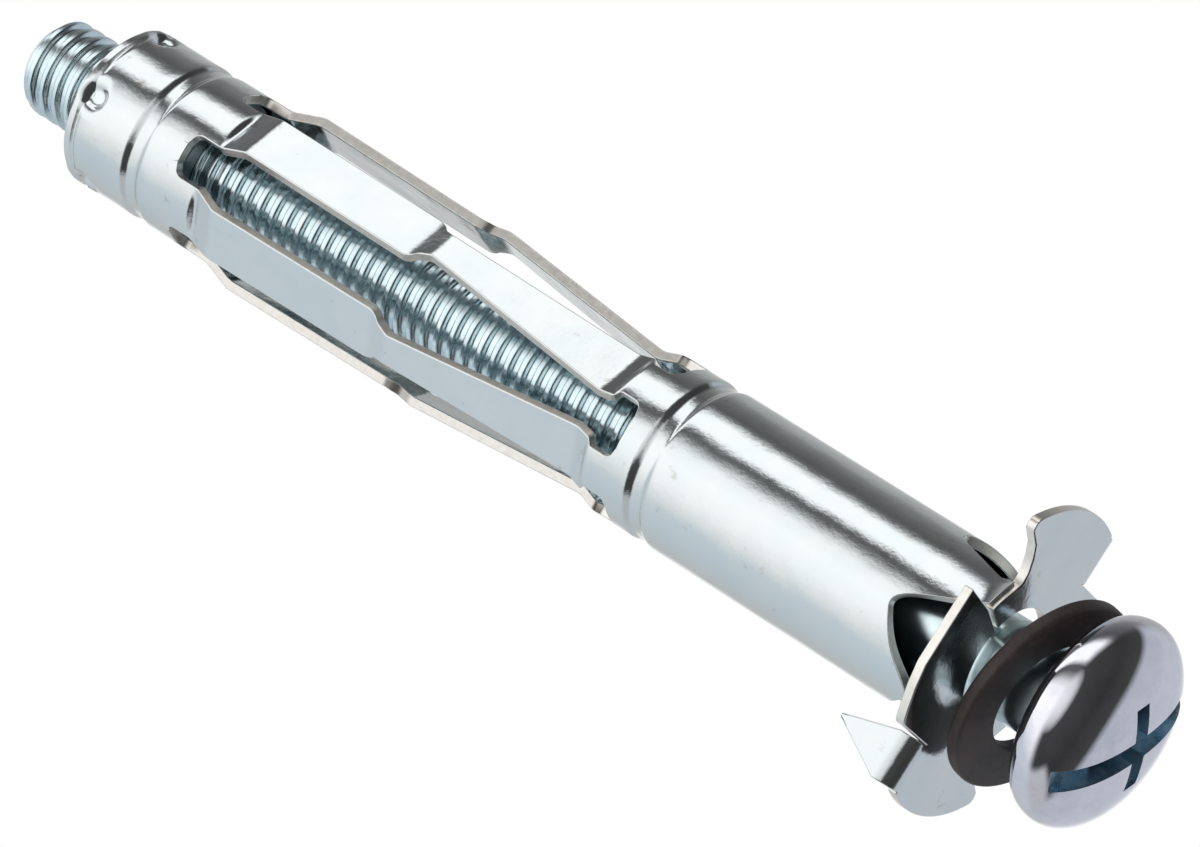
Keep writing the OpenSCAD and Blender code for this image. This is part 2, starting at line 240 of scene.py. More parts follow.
# Where the tube ends at the flange, by turn in degrees: the neck runs up to the flange, its sides
# fall back to the window's floor, and a tongue stands in the middle of the window. One of the two
# windows is cut a little deeper.
def frontEdge(turn):
    s = sleeve
    fromNeck = fromMiddle(turn, s["neckTurn"])
    sideways = s["tubeR"] * np.sin(np.radians(fromNeck))
    top = s["tubeR"] * math.sin(math.radians(s["neckHalf"]))
    foot = s["tubeR"] * math.sin(math.radians(s["neckFoot"]))
    depth = s["windowDepth"] + s["windowMore"] * (np.sin(np.radians(s["neckTurn"] - turn)) > 0)
    edge = -depth * np.clip((sideways - top) / (foot - top), 0, 1)
    fromTongue = fromMiddle(turn, s["neckTurn"] + s["tongueTurn"])
    tx, ty = np.array(s["tongue"]).T
    tongue = -np.interp(s["tubeR"] * np.sin(np.radians(fromTongue)), tx, ty)
    edge = np.where(fromTongue < s["tongueHalf"], np.maximum(edge, tongue), edge)
    slack = 0.01  # keeps the corners of the neck's own top in it
    return np.where(fromNeck <= s["neckHalf"] + slack, s["sheet"] / 2, edge)


# The same edge with the window's corners rounded, as the mean over a few degrees to each side.
def roundedFrontEdge(turn):
    s = sleeve
    nearby = np.linspace(-s["windowRound"], s["windowRound"], 9)
    mean = np.mean([frontEdge(turn + d) for d in nearby], axis=0)
    return np.where(fromMiddle(turn, s["neckTurn"]) > 2 * s["neckHalf"], mean, frontEdge(turn))


# The collars and legs: outer skin, inner skin and which cells are metal. Down the rows runs the axis,
# round the columns go the legs and slots in turn. A point on a leg slides from the round tube
# (R sin a, R cos a) to the flat face (s w, f) at the folds.
def collarsAndLegs():
    s = sleeve
    x = stations(s["rows"], s["plainX"])
    pitch = 360 / s["legCount"]
    halfPitch = math.radians(pitch / 2)
    onLegs = (x > s["legsFarX"]) & (x < s["legsNearX"])
    flat = smoothStep(x, s["legsFarX"] - s["flatLead"], s["legsFarX"] + s["flatTail"]) * \
        (1 - smoothStep(x, s["legsNearX"] - s["flatTail"], s["legsNearX"] + s["flatLead"]))
    radius = tubeRadius(x)
    slotAngle = np.arcsin(slotHalfWidth(x).clip(min=0) / s["tubeR"])
    legAngle = np.where(onLegs, np.arcsin(softLine(x, s["legHalf"], s["sideReach"]) / s["tubeR"]),
                        halfPitch - slotAngle)
    face = softLine(x, s["legFace"], s["foldReach"])
    legStep = np.linspace(-1, 1, s["cellsPerLeg"] + 1)
    slotStep = np.linspace(-1, 1, s["cellsPerSlot"] + 1)[1:-1]
    fraction = np.concatenate([legStep, slotStep])
    isLeg = np.concatenate([np.ones(len(legStep), bool), np.zeros(len(slotStep), bool)])

    def skin(depth):
        columns = []
        for leg in range(s["legCount"]):
            centre = math.radians(s["slotTurn"] + (leg + 0.5) * pitch)
            half = np.where(isLeg[None, :], legAngle[:, None], halfPitch - legAngle[:, None])
            around = np.where(isLeg, 0, halfPitch)[None, :] + fraction * half
            roundX = (radius - depth)[:, None] * np.sin(around)
            roundY = (radius - depth)[:, None] * np.cos(around)
            flatX = fraction[None, :] * (s["tubeR"] * np.sin(legAngle))[:, None]
            flatY = np.broadcast_to((face - depth)[:, None], flatX.shape)
            blend = flat[:, None] * isLeg[None, :]
            u = roundX + (flatX - roundX) * blend
            v = roundY + (flatY - roundY) * blend
            columns.append(aroundAxis(x[:, None], np.hypot(u, v), centre + np.arctan2(u, v)))
        return np.concatenate(columns, axis=1)

    cellIsSlot = np.tile(np.arange(len(fraction)) >= s["cellsPerLeg"], s["legCount"])
    middle = (x[:-1] + x[1:]) / 2
    inSlot = (middle > s["slotFarX"]) & (middle < s["slotNearX"])
    return skin(0), skin(s["sheet"]), ~(inSlot[:, None] & cellIsSlot[None, :])


# The plain front of the tube, from the last row of the collar to the flange. The columns slide to the
# corners of the necks, windows and tongues on the way, and the last row follows the front edge.
def plainFront(lastRow):
    s = sleeve
    turn = np.degrees(np.unwrap(np.arctan2(-lastRow[:, 1], lastRow[:, 2])))
    corners = [s["neckTurn"] + 180 * k + d for k in range(-1, 3)
               for d in (-s["neckFoot"], -s["neckHalf"], s["neckHalf"], s["neckFoot"], s["tongueTurn"])]
    clear = 3  # degrees: a corner closer to the first column than this is left out
    corners = np.sort([c for c in corners if turn[0] + clear < c < turn[0] + 360 - clear])
    nearest = np.array([np.argmin(np.abs(turn - c)) for c in corners])
    held = np.concatenate([[0], nearest, [len(turn)]])
    snapped = np.interp(np.arange(len(turn)), held, np.concatenate([[turn[0]], corners, [turn[0] + 360]]))
    share = np.concatenate([np.linspace(0, s["fineShare"], s["coarseRows"] + 1)[1:],
                            np.linspace(s["fineShare"], 1, s["fineRows"] + 1)[1:]])[:, None]
    angle = np.radians(turn + (snapped - turn) * smoothStep(share, 0.0, s["snapShare"]))
    x = s["plainX"] + (roundedFrontEdge(snapped) - s["plainX"]) * share
    flare = s["neckFlare"] * (x / s["neckFlareX"] + 1).clip(min=0) ** 2
    return aroundAxis(x, s["tubeR"] + flare, angle), aroundAxis(x, s["tubeR"] - s["sheet"] + flare, angle)


# Punch marks near the rim: inside one dimple radius the wall goes in by a smooth bowl, and a ring just
# outside it stands up a little on the side of the rim.
def dimpled(grid):
    s = sleeve
    radius = np.hypot(grid[..., 1], grid[..., 2])
    turn = np.degrees(np.arctan2(-grid[..., 1], grid[..., 2]))
    pitch = 360 / s["legCount"]
    off = np.radians((turn - s["slotTurn"] + pitch / 2) % pitch - pitch / 2) * s["tubeR"]
    along = grid[..., 0] - s["dimpleX"]
    far = np.hypot(off, along) / s["dimpleR"]
    bowl = s["dimpleDepth"] * (1 - smoothStep(far, s["dimpleFloor"], 1.0))
    lip = s["lipHeight"] * np.exp(-((far - s["lipPlace"]) / s["lipWidth"]) ** 2)
    lip = lip * smoothStep(-along, *s["lipFade"])
    return aroundAxis(grid[..., 0], radius - bowl + lip, np.radians(turn))


# The rolled part of the sleeve in one closed sheet.
def tubeAndLegs():
    outer, inner, kept = collarsAndLegs()
    frontOuter, frontInner = plainFront(outer[-1])
    kept = np.concatenate([kept, np.ones((len(frontOuter), kept.shape[1]), bool)])
    outer = np.concatenate([dimpled(outer), frontOuter])
    inner = np.concatenate([dimpled(inner), frontInner])
    return sheetFaces(outer, inner, kept, True)


flange = {
    "sheet": 0.6, "holeR": 3.35, "lobeR": 9.2, "lobeEnd": 125, "hornR": 5.1, "cornerR": 0.55,
    # places on a tab's outline as (height, sideways), from the tip of its upper arm round the outside
    "topEdge": ((8.0, -2.4), (8.02, -0.5), (8.0, 2.2), (7.6, 3.4), (7.0, 4.6)),
    "topCorner": (6.15, 4.95), "shoulder": (4.6, 5.6), "tailCorner": (-5.15, 6.95),
    "waist": ((-4.5, 6.05), (-3.9, 5.4), (-3.45, 4.6), (-3.4, 4)), "armTip": (5.2, -1.95),
    # degrees: where the hole's edge ends, how far the horn ends past its neck, how much narrower it is
    "holeEnd": -20.6, "hornPast": 1.5, "hornLess": 4,
    "spikeSide": 5.75, "spikeWidth": 2.9, "spikeLength": 4.0, "spikeTip": 1.0, "tipHalf": 0.1,
    "bendR": 0.6, "bendHeight": 2.8, "spikeRoot": 0.15, "skinGap": 0.004,
    "bendRows": 9, "runRows": 13, "spikeCells": 6,
}


# Outline of one C-shaped tab of the flange in (height, sideways), the other is half a turn round.
def tabOutline():
    f = flange
    hornTurn = 180 + sleeve["neckTurn"] + sleeve["neckHalf"] + f["hornPast"]
    lobeTop = 90 - math.degrees(math.asin(f["bendHeight"] / f["lobeR"]))
    return np.concatenate([
        f["topEdge"],
        arcPoints(f["topCorner"], f["cornerR"], 30, 100, 4),
        [f["shoulder"], (f["bendHeight"], f["spikeSide"])],
        arcPoints((0, 0), f["lobeR"], lobeTop, f["lobeEnd"], 14),
        arcPoints(f["tailCorner"], f["cornerR"], 140, 225, 4),
        f["waist"],
        arcPoints((0, 0), f["hornR"], hornTurn - 2 * sleeve["neckHalf"] + f["hornLess"], hornTurn, 5),
        arcPoints((0, 0), f["holeR"], hornTurn, f["holeEnd"], 24),
        [f["armTip"]]])


# Front and back polygons of a plate and the ring of walls between them.
def plateFaces(outline, back, front, first):
    n = len(outline)
    ring = np.arange(n)
    ahead = (ring + 1) % n
    walls = np.stack([ring, ahead, ahead + n, ring + n], axis=-1)
    points = np.concatenate([
        np.stack([np.full(n, x), -outline[:, 1], outline[:, 0]], axis=-1) for x in (back, front)])
    area = np.sum(outline[:, 0] * np.roll(outline[:, 1], -1) - outline[:, 1] * np.roll(outline[:, 0], -1))
    caps = [[ring[::-1], ring + n], [ring, (ring + n)[::-1]]][int(area < 0)]
    walls = walls if area > 0 else walls[:, ::-1]
    return points, [np.array(caps) + first], walls + first


# A spike: the sheet goes back round a quarter bend from the tab's edge and narrows to a point.
# Rows follow the bend (r cos a, r sin a) and then run straight, columns go across.
def spikeFaces():
    f = flange
    bend = np.radians(np.linspace(0, 90, f["bendRows"] + 1))
    run = np.linspace(0, f["spikeLength"] - f["bendR"], f["runRows"] + 1)[1:]
    across = np.linspace(1, 0, f["spikeCells"] + 1)
    narrowing = np.concatenate([np.zeros(len(bend) + 1), run / run[-1]])
    left = narrowing * (f["spikeTip"] - f["tipHalf"])
    right = f["spikeWidth"] - narrowing * (f["spikeWidth"] - f["spikeTip"] - f["tipHalf"])
    side = f["spikeSide"] + left[:, None] + (right - left)[:, None] * across

    def skin(r):
        x = np.concatenate([[-f["bendR"] + r], -f["bendR"] + r * np.cos(bend), -f["bendR"] - run])
        height = f["bendHeight"] + np.concatenate([[-f["spikeRoot"]], r * np.sin(bend), np.full(len(run), r)])
        return np.stack(np.broadcast_arrays(x[:, None], -side, height[:, None]), axis=-1)

    outer, inner = skin(f["bendR"] + f["sheet"] - f["skinGap"]), skin(f["bendR"] + f["skinGap"])
    kept = np.ones((outer.shape[0] - 1, outer.shape[1] - 1), bool)
    return sheetFaces(outer, inner, kept, False)


# Half a turn about the axis: (x, -y, -z).
def halfTurn(points):
    return points * np.array([1, -1, -1])


# The whole sleeve: the rolled sheet, and a tab with its spike on each side. Material 0 is the plated
# skin and 1 the cut edge.
def makeSleeve():
    piece = newPiece("rolled_sleeve", "anchor", ("sleeve",))
    points, (skins, walls) = tubeAndLegs()
    faces, kinds, base = [skins, walls], [0, 1], len(points)
    allPoints = [points]
    outline = tabOutline()
    for turned in (False, True):
        platePoints, caps, rim = plateFaces(outline, 0.0, flange["sheet"], base)
        spikePoints, (spikeSkins, spikeWalls) = spikeFaces()
        spikeBase = base + len(platePoints)
        for extra, groups in ((platePoints, [(caps[0], 0), (rim, 1)]),
                              (spikePoints, [(spikeSkins + spikeBase, 0), (spikeWalls + spikeBase, 1)])):
            allPoints.append(halfTurn(extra) if turned else extra)
            for group, kind in groups:
                faces.append(group)
                kinds.append(kind)
        base = spikeBase + len(spikePoints)
    fillMesh(piece, np.concatenate(allPoints), faces, kinds)
    softenEdges(piece, sleeve)
    return piece


print("stage: screw")

screw = {
    "radius": 2.95, "pitch": 1.0, "threadDepth": 0.3, "crestEnd": 0.28, "rootStart": 0.68,
    "tipX": -70.95, "tipBevel": 0.7, "threadEndX": -7.0, "runOut": 1.5, "plainR": 2.68,
    "headX": 5.35, "headR": 6.1, "headHeight": 4.35, "bellyHeight": 1.45, "seatR": 5.1, "domePower": 0.85,
    "intoHead": 0.3, "middleR": 0.4,
    "slotWidth": 1.4, "slotDepth": 1.6, "slotAbove": 2.0,
    "recessTurn": 45.0, "recessArm": 1.0, "recessWidth": 5.4, "recessTip": 1.08, "recessDepth": 3.0,
    # the recess widens by recessFlare from recessSide under the head's top to recessAbove over it
    "recessSide": 0.7, "recessFlare": 0.2, "recessAbove": 1.0,
    "around": 60, "perPitch": 16, "headAround": 96, "seatRings": 5, "bellyRings": 14, "domeRings": 44,
    "edgeRound": 0.13, "edgeSteps": 3, "edgeAngle": 38,
}


# Height of the thread over its root, 0 to 1, from the place within one turn: a worn flat crest and an
# equally wide root, with a short smooth flank between them.
def threadShape(place):
    fromCrest = np.abs((place + 0.5) % 1 - 0.5) * 2
    return 1 - smoothStep(fromCrest, screw["crestEnd"], screw["rootStart"])


# The shank: radius = root + depth * thread(x / pitch - turn / 360), a right-hand helix, with a bevelled
# tip and a thread that runs out into a plain neck.
def shankPoints():
    s = screw
    endX = s["headX"] + s["intoHead"]
    count = int((endX - s["tipX"]) / s["pitch"] * s["perPitch"])
    x = np.linspace(s["tipX"], endX, count)[:, None]
    turn = np.radians(np.arange(s["around"]) * 360 / s["around"])[None, :]
    run = 1 - smoothStep(x, s["threadEndX"] - s["runOut"], s["threadEndX"])
    root = s["radius"] - s["threadDepth"]
    thread = threadShape(x / s["pitch"] - turn / (2 * np.pi))
    radius = (root + s["threadDepth"] * thread) * run + s["plainR"] * (1 - run)
    radius = np.minimum(radius, s["radius"] - s["tipBevel"] + (x - s["tipX"]))
    return aroundAxis(x, radius, turn)


# Faces of a round grid: rows along the axis, columns round it, and a fan to a centre point at each end.
def roundFaces(grid):
    rows, columns = grid.shape[:2]
    number = np.arange(rows * columns).reshape(rows, columns)
    number = np.concatenate([number, number[:, :1]], axis=1)
    a, b, c, d = number[:-1, :-1], number[1:, :-1], number[1:, 1:], number[:-1, 1:]
    sides = np.stack([a, d, c, b], axis=-1).reshape(-1, 4)
    ends = np.array([grid[0].mean(axis=0), grid[-1].mean(axis=0)])
    first, last = rows * columns, rows * columns + 1
    low = np.stack([number[0, 1:], number[0, :-1], np.full(columns, first)], axis=-1)
    high = np.stack([number[-1, :-1], number[-1, 1:], np.full(columns, last)], axis=-1)
    return np.concatenate([grid.reshape(-1, 3), ends]), [sides, low, high]


# Pan head: the underside rounds out to the widest ring as (sin a, 1 - cos a), the dome goes from there
# to the top as (cos^p a, sin a). Both stop a degree or two short, where the next ring would meet.
def headPoints():
    s = screw
    bellyX = s["headX"] + s["bellyHeight"]
    under = np.radians(np.linspace(0, 88, s["bellyRings"]))
    dome = np.radians(np.linspace(0, 89, s["domeRings"]))
    seatR = np.linspace(s["middleR"], s["seatR"], s["seatRings"] + 1)[:-1]
    x = np.concatenate([np.full(s["seatRings"], s["headX"]), bellyX - s["bellyHeight"] * np.cos(under),
                        bellyX + (s["headHeight"] - s["bellyHeight"]) * np.sin(dome)])
    radius = np.concatenate([seatR, s["seatR"] + (s["headR"] - s["seatR"]) * np.sin(under),
                             s["headR"] * np.cos(dome) ** s["domePower"]])
    turn = np.radians(np.arange(s["headAround"]) * 360 / s["headAround"])
    return aroundAxis(x[:, None], radius[:, None], turn[None, :])


# A prism for cutting: an outline in (along a diameter, height over the top), this wide across. Its
# faces have material 1, so the walls that it cuts have it too.
def cutterMesh(outline, width, turn, topX):
    n = len(outline)
    along, over = np.array(outline, float).T
    c, t = math.cos(math.radians(turn)), math.sin(math.radians(turn))
    points = []
    for across in (-width / 2, width / 2):
        height, sideways = along * c - across * t, along * t + across * c
        points.append(np.stack([topX + over, -sideways, height], axis=-1))
    ring = list(range(n))
    sides = [[i, (i + 1) % n, (i + 1) % n + n, i + n] for i in ring]
    ends = [ring[::-1], [i + n for i in ring]]
    mesh = bpy.data.meshes.new("cutter")
    mesh.from_pydata((np.concatenate(points) * mm).tolist(), [], ends + sides)
    cleaner = bmesh.new()
    cleaner.from_mesh(mesh)
    bmesh.ops.recalc_face_normals(cleaner, faces=cleaner.faces)
    cleaner.to_mesh(mesh)
    cleaner.free()
    mesh.materials.append(None)
    mesh.materials.append(None)
    mesh.polygons.foreach_set("material_index", [1] * len(mesh.polygons))
    return mesh


# Cuts one mesh out of another exactly and keeps the result in the piece.
def cutAway(piece, mesh):
    tool = bpy.data.objects.new("tool", mesh)
    bpy.context.scene.collection.objects.link(tool)
    modifier = piece.modifiers.new("cut", "BOOLEAN")
    modifier.operation, modifier.object, modifier.solver = "DIFFERENCE", tool, "EXACT"
    seen = piece.evaluated_get(bpy.context.evaluated_depsgraph_get())
    result = bpy.data.meshes.new_from_object(seen)
    piece.modifiers.clear()
    piece.data = result
    bpy.data.objects.remove(tool)


# The head with a slot right across and one arm of the cross recess along it and one square to it, and
# the shank as a piece of its own that reaches a little into the head.
def makeScrew():
    s = screw
    piece = newPiece("pan_head_screw", "machine_screw", ("screw",))
    points, faces = roundFaces(headPoints())
    fillMesh(piece, points, faces)
    piece.data.materials.append(None)
    piece.data.materials.append(None)
    topX = s["headX"] + s["headHeight"]
    reach = 2 * s["headR"]
    slotCut = [(-reach, -s["slotDepth"]), (reach, -s["slotDepth"]), (reach, s["slotAbove"]),
               (-reach, s["slotAbove"])]
    cutAway(piece, cutterMesh(slotCut, s["slotWidth"], s["recessTurn"], topX))
    half = s["recessWidth"] / 2
    right = [(s["recessTip"], -s["recessDepth"]), (half, -s["recessSide"]),
             (half + s["recessFlare"], s["recessAbove"])]
    left = [(-along, over) for along, over in right]
    armCut = left[:1] + right + left[:0:-1]
    for turn in (s["recessTurn"], s["recessTurn"] + 90):
        cutAway(piece, cutterMesh(armCut, s["recessArm"], turn, topX))
    piece.data.polygons.foreach_set("use_smooth", [True] * len(piece.data.polygons))
    softenEdges(piece, s, clamped=True)
    shank = newPiece("threaded_shank", "machine_screw")
    points, faces = roundFaces(shankPoints())
    fillMesh(shank, points, faces)
    return piece, shank


print("stage: washer and insert")

washer = {"radius": 6.0, "thickness": 0.85, "holeR": 3.35, "placeX": 2.75, "shift": 0.25, "lean": 10.4,
          "nod": 3.0, "edge": 0.22, "edgeSteps": 4, "around": 120}


# A ring with rounded rims: a closed profile (x, radius) carried round, then leaned and shifted to the
# side where it hangs on the screw.
def makeWasher():
    w = washer
    piece = newPiece("fibre_washer", "carrier", ("washer",))
    t, e = w["thickness"], w["edge"]
    corners = [((e, w["radius"] - e), 90), ((t - e, w["radius"] - e), 0),
               ((t - e, w["holeR"] + e), -90), ((e, w["holeR"] + e), -180)]
    profile = np.concatenate([arcPoints(c, e, a + 90, a, w["edgeSteps"]) for c, a in corners])
    turn = np.radians(np.arange(w["around"]) * 360 / w["around"])
    grid = aroundAxis(profile[:, 0][:, None], profile[:, 1][:, None], turn[None, :])
    lean, nod = math.radians(w["lean"]), math.radians(w["nod"])
    x, sideways, height = grid[..., 0], -grid[..., 1], grid[..., 2]
    leaned = x * math.cos(lean) - sideways * math.sin(lean)
    sideways = x * math.sin(lean) + sideways * math.cos(lean)
    nodded = leaned * math.cos(nod) - height * math.sin(nod)
    height = leaned * math.sin(nod) + height * math.cos(nod)
    grid = np.stack([w["placeX"] + nodded, -(sideways + w["shift"]), height], axis=-1)
    rows, columns = grid.shape[:2]
    number = np.arange(rows * columns).reshape(rows, columns)
    number = np.concatenate([number, number[:1]], axis=0)
    number = np.concatenate([number, number[:, :1]], axis=1)
    a, b, c, d = number[:-1, :-1], number[1:, :-1], number[1:, 1:], number[:-1, 1:]
    fillMesh(piece, grid.reshape(-1, 3), [np.stack([a, d, c, b], axis=-1).reshape(-1, 4)])
    return piece


print("stage: materials")

sheetFinish = {
    "bright": "#dcdedc", "dull": "#cdd6d9", "stain": "#a8937c", "roughness": (0.06, 0.15),
    # how many there are in a millimetre, and how high the waves and the grain stand in millimetres
    "patches": 0.45, "grain": 3.6, "waves": 0.24, "stains": 0.9, "waveHeight": 0.25, "grainHeight": 0.03,
}


# Zinc plated sheet steel, rolled and blanked: a bright, nearly mirror-like skin. The bath leaves soft
# patches about 2 mm across that are a little duller, rolling leaves it faintly wavy every 4 mm, a grain
# a quarter of a millimetre wide frays the reflections, and pale brown stains sit here and there.
def platedSheet():
    f = sheetFinish
    material, tree, output, place = newMaterial("zinc plated sheet steel")
    patches = addNode(tree, "ShaderNodeTexNoise",
                      {"Scale": f["patches"] / mm, "Detail": 4.0, "Roughness": 0.6}, {"Vector": place})
    grain = addNode(tree, "ShaderNodeTexNoise",
                    {"Scale": f["grain"] / mm, "Detail": 3.0, "Roughness": 0.65}, {"Vector": place})
    waves = addNode(tree, "ShaderNodeTexNoise", {"Scale": f["waves"] / mm, "Detail": 2.0}, {"Vector": place})
    least, most = f["roughness"]
    roughness = addNode(tree, "ShaderNodeMapRange",
                        {"From Min": 0.3, "From Max": 0.7, "To Min": least, "To Max": most},
                        {"Value": patches.outputs["Fac"]})
    tone = addNode(tree, "ShaderNodeMixRGB", {"Color1": linear(f["bright"]), "Color2": linear(f["dull"])},
                   {"Fac": patches.outputs["Fac"]})
    stains = addNode(tree, "ShaderNodeTexNoise",
                     {"Scale": f["stains"] / mm, "Detail": 4.0, "Roughness": 0.55}, {"Vector": place})
    stained = addNode(tree, "ShaderNodeMapRange", {"From Min": 0.66, "From Max": 0.8, "To Max": 0.55},
                      {"Value": stains.outputs["Fac"]})
    colour = addNode(tree, "ShaderNodeMixRGB", {"Color2": linear(f["stain"])},
                     {"Fac": stained.outputs["Result"], "Color1": tone.outputs["Color"]})
    broad = addNode(tree, "ShaderNodeBump", {"Strength": 0.38, "Distance": f["waveHeight"] * mm},
                    {"Height": waves.outputs["Fac"]})
    fine = addNode(tree, "ShaderNodeBump", {"Strength": 0.3, "Distance": f["grainHeight"] * mm},
                   {"Height": grain.outputs["Fac"], "Normal": broad.outputs["Normal"]})
    surface = addNode(tree, "ShaderNodeBsdfPrincipled", {"Metallic": 1.0},
                      {"Base Color": colour.outputs["Color"], "Roughness": roughness.outputs["Result"],
                       "Normal": fine.outputs["Normal"]})
    tree.links.new(surface.outputs["BSDF"], output.inputs["Surface"])
    return material


edgeFinish = {"tones": ((0.3, "#d9d5cd"), (0.5, "#e2dfd9"), (0.75, "#eae8e3")), "roughness": (0.26, 0.4),
              "tears": 2.6, "tearHeight": 0.03}


# The sheet's cut edge: sheared steel under thin zinc, paler and duller than the skin, with a warm cast
# and a torn look from tears less than half a millimetre long.
def cutEdge():
    f = edgeFinish
    material, tree, output, place = newMaterial("sheared zinc plated edge")
    tear = addNode(tree, "ShaderNodeTexNoise", {"Scale": f["tears"] / mm, "Detail": 4.0, "Roughness": 0.7},
                   {"Vector": place})
    colour = addNode(tree, "ShaderNodeValToRGB", {}, {"Fac": tear.outputs["Fac"]})
    setStops(colour, f["tones"])
    least, most = f["roughness"]
    roughness = addNode(tree, "ShaderNodeMapRange", {"To Min": least, "To Max": most},
                        {"Value": tear.outputs["Fac"]})
    bump = addNode(tree, "ShaderNodeBump", {"Strength": 0.06, "Distance": f["tearHeight"] * mm},
                   {"Height": tear.outputs["Fac"]})
    surface = addNode(tree, "ShaderNodeBsdfPrincipled", {"Metallic": 1.0},
                      {"Base Color": colour.outputs["Color"], "Roughness": roughness.outputs["Result"],
                       "Normal": bump.outputs["Normal"]})
    tree.links.new(surface.outputs["BSDF"], output.inputs["Surface"])
    return material


screwFinish = {
    "clouds": 0.7, "marks": 3.0, "markHeight": 0.02,  # in a millimetre, and millimetres high
    # each part's light and dark tone, roughness from and to, and how strongly tools marked it
    "head": ("#e0dfe6", "#d0d1da", 0.04, 0.08, 0.06),  # cold headed and bright, the smoothest of them
    "recess": ("#d4e4ec", "#86a9bd", 0.2, 0.38, 0.9),  # punched and duller, with broken reflections; its darker, bluer tones are painted shade and a painted bluish reflection in the recess
    "thread": ("#dcebee", "#bccfd6", 0.16, 0.28, 0.04),  # rolled: satin and faintly blue
    "insert": ("#c6cdcf", "#9fabae", 0.25, 0.4, 0.2),  # turned: grey and the dullest
}


# Blue passivated zinc on steel: faintly blue and glossy, in clouds 1.4 mm across that are a little
# darker and duller, with tiny tool marks that break the reflections.
def platedScrew(name, part):
    f = screwFinish
    light, dark, least, most, marked = f[part]
    material, tree, output, place = newMaterial(name)
    cloud = addNode(tree, "ShaderNodeTexNoise",
                    {"Scale": f["clouds"] / mm, "Detail": 5.0, "Roughness": 0.65}, {"Vector": place})
    colour = addNode(tree, "ShaderNodeValToRGB", {}, {"Fac": cloud.outputs["Fac"]})
    setStops(colour, [(0.3, dark), (0.65, light)])
    marks = addNode(tree, "ShaderNodeTexNoise", {"Scale": f["marks"] / mm, "Detail": 3.0}, {"Vector": place})
    roughness = addNode(tree, "ShaderNodeMapRange", {"To Min": least, "To Max": most},
                        {"Value": cloud.outputs["Fac"]})
    bump = addNode(tree, "ShaderNodeBump", {"Strength": marked, "Distance": f["markHeight"] * mm},
                   {"Height": marks.outputs["Fac"]})
    surface = addNode(tree, "ShaderNodeBsdfPrincipled", {"Metallic": 1.0},
                      {"Base Color": colour.outputs["Color"], "Roughness": roughness.outputs["Result"],
                       "Normal": bump.outputs["Normal"]})
    tree.links.new(surface.outputs["BSDF"], output.inputs["Surface"])
    return material


fibreFinish = {"dark": "#251d1d", "brown": "#3a2f2d", "fleck": "#5a4640", "roughness": 0.55,
               "fibres": 2.2, "clouds": 0.35, "fibreHeight": 0.06}


# Stamped vulcanised fibre, dark brown: dull and cloudy every 3 mm, with paler flecks where the matted
# fibres show. They are drawn half a millimetre long, as coarse as they need to be to show.
def brownFibre():
    f = fibreFinish
    material, tree, output, place = newMaterial("stamped vulcanised fibre")
    fibres = addNode(tree, "ShaderNodeTexNoise",
                     {"Scale": f["fibres"] / mm, "Detail": 6.0, "Roughness": 0.7}, {"Vector": place})
    cloud = addNode(tree, "ShaderNodeTexNoise", {"Scale": f["clouds"] / mm, "Detail": 3.0}, {"Vector": place})
    base = addNode(tree, "ShaderNodeValToRGB", {}, {"Fac": cloud.outputs["Fac"]})
    setStops(base, [(0.35, f["dark"]), (0.7, f["brown"])])
    flecks = addNode(tree, "ShaderNodeMapRange", {"From Min": 0.52, "From Max": 0.75, "To Max": 0.35},
                     {"Value": fibres.outputs["Fac"]})
    colour = addNode(tree, "ShaderNodeMixRGB", {"Color2": linear(f["fleck"])},
                     {"Fac": flecks.outputs["Result"], "Color1": base.outputs["Color"]})
    bump = addNode(tree, "ShaderNodeBump", {"Strength": 0.4, "Distance": f["fibreHeight"] * mm},
                   {"Height": fibres.outputs["Fac"]})
    surface = addNode(tree, "ShaderNodeBsdfPrincipled", {"Roughness": f["roughness"]},
                      {"Base Color": colour.outputs["Color"], "Normal": bump.outputs["Normal"]})
    tree.links.new(surface.outputs["BSDF"], output.inputs["Surface"])
    return material


# Gives a piece its materials and keeps the number that each face has.
def setMaterials(piece, materials):
    kinds = np.zeros(len(piece.data.polygons), dtype=np.int32)
    piece.data.polygons.foreach_get("material_index", kinds)
    piece.data.materials.clear()
    for material in materials:
        piece.data.materials.append(material)
    piece.data.polygons.foreach_set("material_index", np.minimum(kinds, len(materials) - 1))


sleevePiece = makeSleeve()
headPiece, shankPiece = makeScrew()
washerPiece = makeWasher()
setMaterials(sleevePiece, [platedSheet(), cutEdge()])
# the recess walls take material 1, whose darker, bluer tones are painted shade in the recess
setMaterials(headPiece, [platedScrew("zinc plated pan head", "head"),
                         platedScrew("blue zinc recess with painted shade", "recess")])
setMaterials(shankPiece, [platedScrew("blue zinc plated thread", "thread")])
setMaterials(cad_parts["nut"], [platedScrew("zinc plated insert", "insert")])
setMaterials(washerPiece, [brownFibre()])

print("stage: camera and studio")

view = {"place": (150.07, 0, 318.68), "turn": (16.511, 24.370, 35.915), "lens": 201, "sensor": 36,
        "near": 10, "far": 5000}

cameraData = bpy.data.cameras.new("camera")
camera = bpy.data.objects.new("camera", cameraData)
bpy.context.scene.collection.objects.link(camera)
camera.location = [d * mm for d in view["place"]]
camera.rotation_euler = [math.radians(a) for a in view["turn"]]
cameraData.lens = view["lens"]
cameraData.sensor_width = view["sensor"]
cameraData.clip_start = view["near"] * mm
cameraData.clip_end = view["far"] * mm
bpy.context.scene.camera = camera

